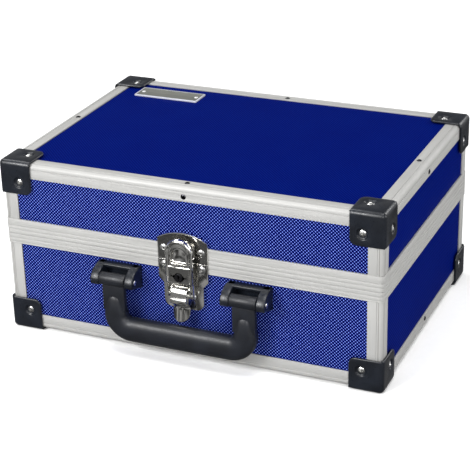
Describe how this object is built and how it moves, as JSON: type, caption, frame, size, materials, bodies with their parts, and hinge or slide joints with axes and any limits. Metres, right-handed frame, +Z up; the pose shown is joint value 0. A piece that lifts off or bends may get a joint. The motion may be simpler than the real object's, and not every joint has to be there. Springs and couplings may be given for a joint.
{
  "type": "hard tool case",
  "caption": "Hard case of laminate panels in an aluminium frame, with corner caps, a swing handle, a key-locked toggle latch and a lid on rear hinges",
  "frame": {"origin": "middle of the box round the whole case, on the surface that the corner caps stand on", "axes": "+Z up, +X along the width, the front with the latch and handle looks along -Y"},
  "size_m": [0.334, 0.2578, 0.154],
  "materials": {
    "blue_laminate": "satin embossed laminate sheet on board, fine diamond grain",
    "satin_aluminium": "satin natural anodised extrusion",
    "black_moulding": "moulded ABS with a fine grain",
    "black_grip": "moulded polypropylene, smooth satin",
    "bright_nickel": "nickel plated pressed steel",
    "brushed_plate": "brushed aluminium plate, left bare",
    "zinc_steel": "zinc plated steel",
    "rivet_steel": "plated steel rivets and pins"
  },
  "bodies": {
    "base": {"base_front_panel": "blue_laminate", "base_back_panel": "blue_laminate", "base_left_panel": "blue_laminate", "base_right_panel": "blue_laminate", "base_bottom_panel": "blue_laminate", "base_edge_front": "satin_aluminium", "base_edge_back": "satin_aluminium", "base_edge_left": "satin_aluminium", "base_edge_right": "satin_aluminium", "base_posts": "satin_aluminium", "base_rim_front": "satin_aluminium", "base_rim_back": "satin_aluminium", "base_rim_left": "satin_aluminium", "base_rim_right": "satin_aluminium", "base_cap_front_left": "black_moulding", "base_cap_front_right": "black_moulding", "base_cap_back_left": "black_moulding", "base_cap_back_right": "black_moulding", "base_rivets": "rivet_steel", "handle_bracket_left": "black_moulding", "handle_bracket_right": "black_moulding", "handle_pins": "rivet_steel", "latch_base_plate": "bright_nickel", "latch_rivets": "rivet_steel", "latch_lever_pin": "rivet_steel", "hinge_base_leaves": "zinc_steel", "hinge_pins": "rivet_steel", "bracket_rivets": "rivet_steel", "hinge_base_rivets": "rivet_steel"},
    "lid": {"hinge_lid_rivets": "rivet_steel", "lid_top_panel": "blue_laminate", "lid_front_panel": "blue_laminate", "lid_back_panel": "blue_laminate", "lid_left_panel": "blue_laminate", "lid_right_panel": "blue_laminate", "lid_edge_front": "satin_aluminium", "lid_edge_back": "satin_aluminium", "lid_edge_left": "satin_aluminium", "lid_edge_right": "satin_aluminium", "lid_posts": "satin_aluminium", "lid_rim_front": "satin_aluminium", "lid_rim_back": "satin_aluminium", "lid_rim_left": "satin_aluminium", "lid_rim_right": "satin_aluminium", "lid_cap_front_left": "black_moulding", "lid_cap_front_right": "black_moulding", "lid_cap_back_left": "black_moulding", "lid_cap_back_right": "black_moulding", "lid_rivets": "rivet_steel", "strike_plate": "bright_nickel", "strike_rivets": "rivet_steel", "label_plate": "brushed_plate", "label_pins": "rivet_steel", "hinge_lid_leaves": "zinc_steel"},
    "handle": {"handle_grip": "black_grip"},
    "latch_lever": {"latch_lever": "bright_nickel", "latch_hasp_pin": "rivet_steel"},
    "latch_hasp": {"latch_hasp": "bright_nickel"},
    "key": {"key_cylinder": "rivet_steel"}
  },
  "joints": [
    {"name": "lid_hinge", "type": "hinge", "parent": "base", "child": "lid", "pos_m": [0, 0.12575, 0.088], "axis": [-1, 0, 0], "range_deg": [0, 100]},
    {"name": "handle_swing", "type": "hinge", "parent": "base", "child": "handle", "pos_m": [-0.002, -0.12335, 0.0675], "axis": [-1, 0, 0], "range_deg": [0, 90]},
    {"name": "lever_pull", "type": "hinge", "parent": "base", "child": "latch_lever", "pos_m": [-0.002, -0.11635, 0.066], "axis": [-1, 0, 0], "range_deg": [0, 100]},
    {"name": "hasp_swing", "type": "hinge", "parent": "latch_lever", "child": "latch_hasp", "pos_m": [-0.002, -0.11575, 0.0602], "axis": [-1, 0, 0], "range_deg": [-130, 0]},
    {"name": "key_turn", "type": "hinge", "parent": "latch_hasp", "child": "key", "pos_m": [-0.002, -0.11775, 0.0774], "axis": [0, -1, 0], "range_deg": [0, 90]}
  ],
  "couplings": [
    {"joint": "hasp_swing", "follows": "lever_pull", "ratio": -1.3}
  ]
}
